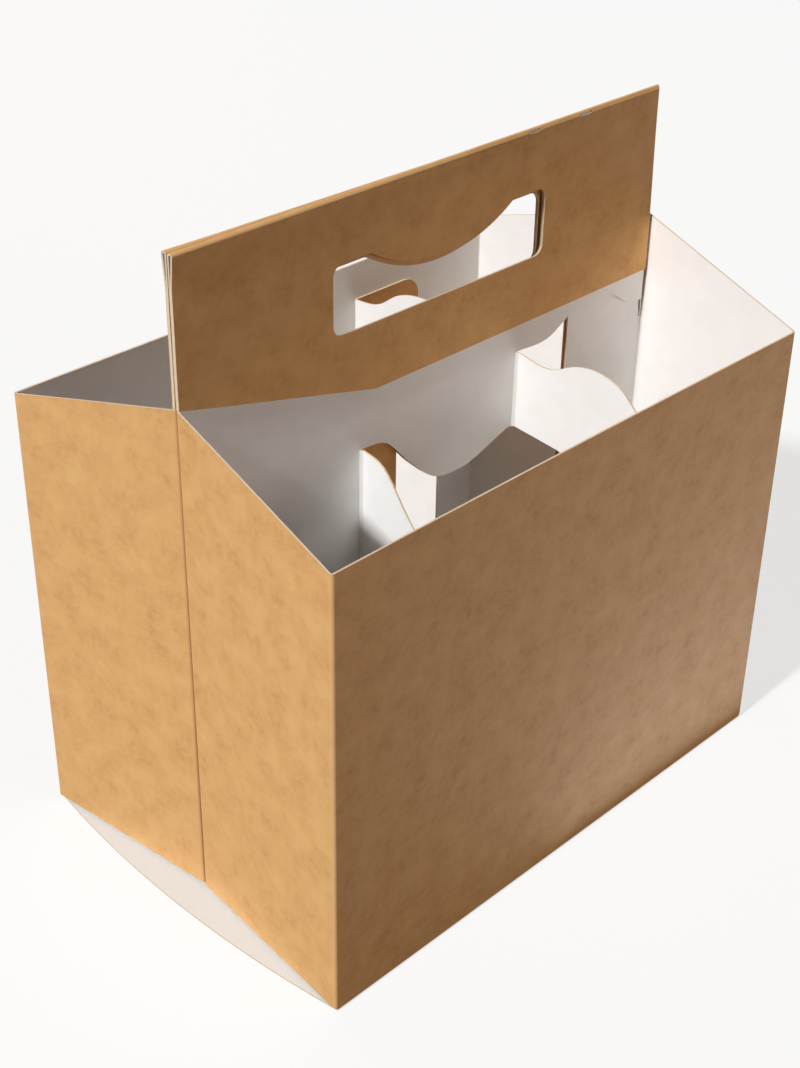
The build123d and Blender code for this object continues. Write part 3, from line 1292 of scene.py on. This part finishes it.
@dataclass
class Carrier:
    """The whole carrier: one blank, whose two halves and bottom make one piece."""

    layout: Layout
    ply: MedialPly
    first_strap: DividerStrap
    second_strap: DividerStrap
    strip: WallStrip
    bottom: BottomPanel
    name: str = "carrier_blank"

    @classmethod
    def from_layout(cls, layout: Layout) -> "Carrier":
        """Make the carrier's panels from the shared sizes."""
        ply = MedialPly(layout)
        first = DividerStrap(
            layout, hinge=66.0, top=128.3, tab=26.0, low=ply.opening_low, tongue_low=ply.tongue_low,
            shares=((0, 1), (0.15, 0.987), (0.32, 0.9), (0.48, 0.833), (0.64, 0.819), (1, 0.867)),
        )
        notch_clearance = 1.0
        second = DividerStrap(
            layout, hinge=133.0, top=137.1, tab=30.0, low=ply.opening_low,
            shares=((0, 1), (0.24, 1), (0.4, 1.037), (0.57, 1.05), (0.7, 1.036), (0.82, 0.998), (1, 0.988)),
            notch=first.tab + notch_clearance, notch_top=first.end_height,
        )
        return cls(layout, ply, first, second, WallStrip(layout), BottomPanel(layout))

    def build(self) -> bpy.types.Object:
        """Fold every panel and join them into the piece."""
        board = BoardMesh(self.layout)
        straps = [self.first_strap, self.second_strap]
        for half in Half:
            board.lay(self.ply.panel(straps, self.strip, half), half)
            for strap in straps:
                board.lay(strap.panel(half), half)
            for panel in self.strip.panels(half):
                board.lay(panel, half)
            LOG.info("%s half folded", half.name.lower())
        wall_middle = self.layout.hinge_stub - self.strip.wall_middle(self.strip.path(0.0))
        board.lay(self.bottom.panel(wall_middle), Half.FRONT)
        return board.grow(self.name)

    def dress(self, piece: bpy.types.Object) -> None:
        """Give the piece its three finishes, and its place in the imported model."""
        finishes = {BoardSide.KRAFT: KraftLiner(), BoardSide.WHITE: WhiteBack(), BoardSide.CUT: CutEdge()}
        for side in BoardSide:
            piece.data.materials.append(finishes[side].material())
        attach(piece, BODY)
        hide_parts(CAD_NODE)


@dataclass(frozen=True)
class SoftLamp:
    """A soft area lamp, with its power in watts."""

    name: str
    power: float
    colour: str
    place: Place
    sides: Point
    faces_up: bool = False

    def hang(self) -> None:
        """Add the lamp to the scene, facing the object or, as a card on the floor, facing up."""
        light = bpy.data.lights.new(self.name, "AREA")
        light.energy = self.power
        light.color = linear(self.colour)[:3]
        light.shape = "RECTANGLE"
        light.size, light.size_y = (side * MM for side in self.sides)
        lamp = bpy.data.objects.new(self.name, light)
        lamp.location = Vector(self.place) * MM
        lamp.rotation_euler = (-lamp.location).to_track_quat("-Z", "Y").to_euler()
        if self.faces_up:
            lamp.rotation_euler = (math.pi, 0.0, 0.0)
            lamp.visible_camera = False
        bpy.context.scene.collection.objects.link(lamp)


@dataclass
class Studio:
    """Floor, light and camera."""

    floor_side: float = 12000.0
    floor_colour: str = "#F4F3F1"
    bounce_colour: str = "#625F5B"
    backdrop_share: float = 0.72
    key_strength: float = 3.65
    key_colour: str = "#F9FCFF"
    key_elevation: float = 42.0
    key_heading: float = 2.0
    key_angle: float = 4.5
    ambient_strength: float = 0.06
    ambient_colour: str = "#FFCFA0"
    # The front fill's height sets where the front wall's rim throws its soft shadow on the ply. A warm,
    # weaker fill keeps the back from going black, and a card on the floor throws light up the wall.
    soft_lamps: tuple[SoftLamp, ...] = (
        SoftLamp("front_fill", 3.6, "#FFEFEA", (0.0, -1500.0, 620.0), (450.0, 450.0)),
        SoftLamp("rear_fill", 2.6, "#FFE2CC", (0.0, 1386.0, 800.0), (450.0, 450.0)),
        SoftLamp("floor_card", 0.25, "#B3C8FF", (145.0, -163.0, 2.0), (300.0, 180.0), faces_up=True),
    )
    camera_place: Place = (-336.418, -321.073, 378.218)
    camera_right: Place = (0.70402, -0.71006, 0.01323)
    camera_ahead: Place = (0.60734, 0.59230, -0.52945)
    focal_length: float = 59.28

    def build(self) -> None:
        """Set up the floor, the world, the lamps, the camera and the view transform."""
        self.lay_floor()
        self.set_world()
        self.hang_key()
        for lamp in self.soft_lamps:
            lamp.hang()
        self.place_camera()
        bpy.context.scene.view_settings.view_transform = "Standard"

    def seen_directly(self, tree: bpy.types.NodeTree) -> bpy.types.NodeSocket:
        """An output that is 1 for camera, glossy and transmission rays."""
        rays = add_node(tree, "ShaderNodeLightPath", {}, {})
        seen = rays.outputs["Is Camera Ray"]
        for kind in ("Is Glossy Ray", "Is Transmission Ray"):
            either = add_node(tree, "ShaderNodeMath", {"operation": "MAXIMUM"}, {
                0: seen, 1: rays.outputs[kind]})
            seen = either.outputs[0]
        return seen

    def lay_floor(self) -> None:
        """Lay a plain pale floor that keeps the object's shadow."""
        half = self.floor_side / 2 * MM
        mesh = bpy.data.meshes.new("floor")
        corners = [(x * half, y * half, 0.0) for x, y in ((-1, -1), (1, -1), (1, 1), (-1, 1))]
        mesh.from_pydata(corners, [], [(0, 1, 2, 3)])
        floor = bpy.data.objects.new("floor", mesh)
        bpy.context.scene.collection.objects.link(floor)
        paper = bpy.data.materials.new("backdrop_paper_matt")
        paper.use_nodes = True
        tree = paper.node_tree
        tree.nodes.remove(tree.nodes["Principled BSDF"])
        lit = add_node(tree, "ShaderNodeBsdfDiffuse", {}, {"Color": linear(self.floor_colour)})
        plain = add_node(tree, "ShaderNodeEmission", {}, {"Color": PLAIN_WHITE, "Strength": 1.0})
        shown = add_node(tree, "ShaderNodeMixShader", {}, {
            0: self.backdrop_share, 1: lit.outputs[0], 2: plain.outputs[0]})
        bounce = add_node(tree, "ShaderNodeBsdfDiffuse", {}, {"Color": linear(self.bounce_colour)})
        mixed = add_node(tree, "ShaderNodeMixShader", {}, {
            0: self.seen_directly(tree), 1: bounce.outputs[0], 2: shown.outputs[0]})
        feed(tree, tree.nodes["Material Output"], {"Surface": mixed.outputs[0]})
        mesh.materials.append(paper)

    def set_world(self) -> None:
        """Light the scene softly from all round, on a white background."""
        world = bpy.data.worlds.new("studio")
        world.use_nodes = True
        tree = world.node_tree
        soft = tree.nodes["Background"]
        feed(tree, soft, {"Color": linear(self.ambient_colour), "Strength": self.ambient_strength})
        plain = add_node(tree, "ShaderNodeBackground", {}, {"Color": PLAIN_WHITE, "Strength": 1.0})
        mixed = add_node(tree, "ShaderNodeMixShader", {}, {
            0: self.seen_directly(tree), 1: soft.outputs[0], 2: plain.outputs[0]})
        feed(tree, tree.nodes["World Output"], {"Surface": mixed.outputs[0]})
        bpy.context.scene.world = world

    def hang_key(self) -> None:
        """Hang the key light to the left."""
        key = bpy.data.lights.new("key", "SUN")
        key.energy = self.key_strength
        key.color = linear(self.key_colour)[:3]
        key.angle = math.radians(self.key_angle)
        lamp = bpy.data.objects.new("key", key)
        heading, rise = math.radians(self.key_heading), math.radians(self.key_elevation)
        level = math.cos(rise)
        travel = Vector((math.cos(heading) * level, math.sin(heading) * level, -math.sin(rise)))
        lamp.rotation_euler = travel.to_track_quat("-Z", "Y").to_euler()
        bpy.context.scene.collection.objects.link(lamp)

    def place_camera(self) -> None:
        """Place the camera where the photograph was taken from."""
        camera = bpy.data.objects.new("camera", bpy.data.cameras.new("camera"))
        camera.data.lens = self.focal_length
        ahead = Vector(self.camera_ahead).normalized()
        right = Vector(self.camera_right)
        right = (right - ahead * right.dot(ahead)).normalized()
        turn = Matrix((right, right.cross(ahead), -ahead)).transposed()
        camera.matrix_world = Matrix.LocRotScale(Vector(self.camera_place) * MM, turn, None)
        bpy.context.scene.collection.objects.link(camera)
        bpy.context.scene.camera = camera


def main() -> None:
    """Build the carrier and its studio."""
    logging.basicConfig(level=logging.INFO, format="%(name)s: %(message)s")
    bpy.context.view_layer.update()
    carrier = Carrier.from_layout(Layout.from_frame())
    piece = carrier.build()
    carrier.dress(piece)
    Studio().build()


if __name__ == "__main__":
    main()
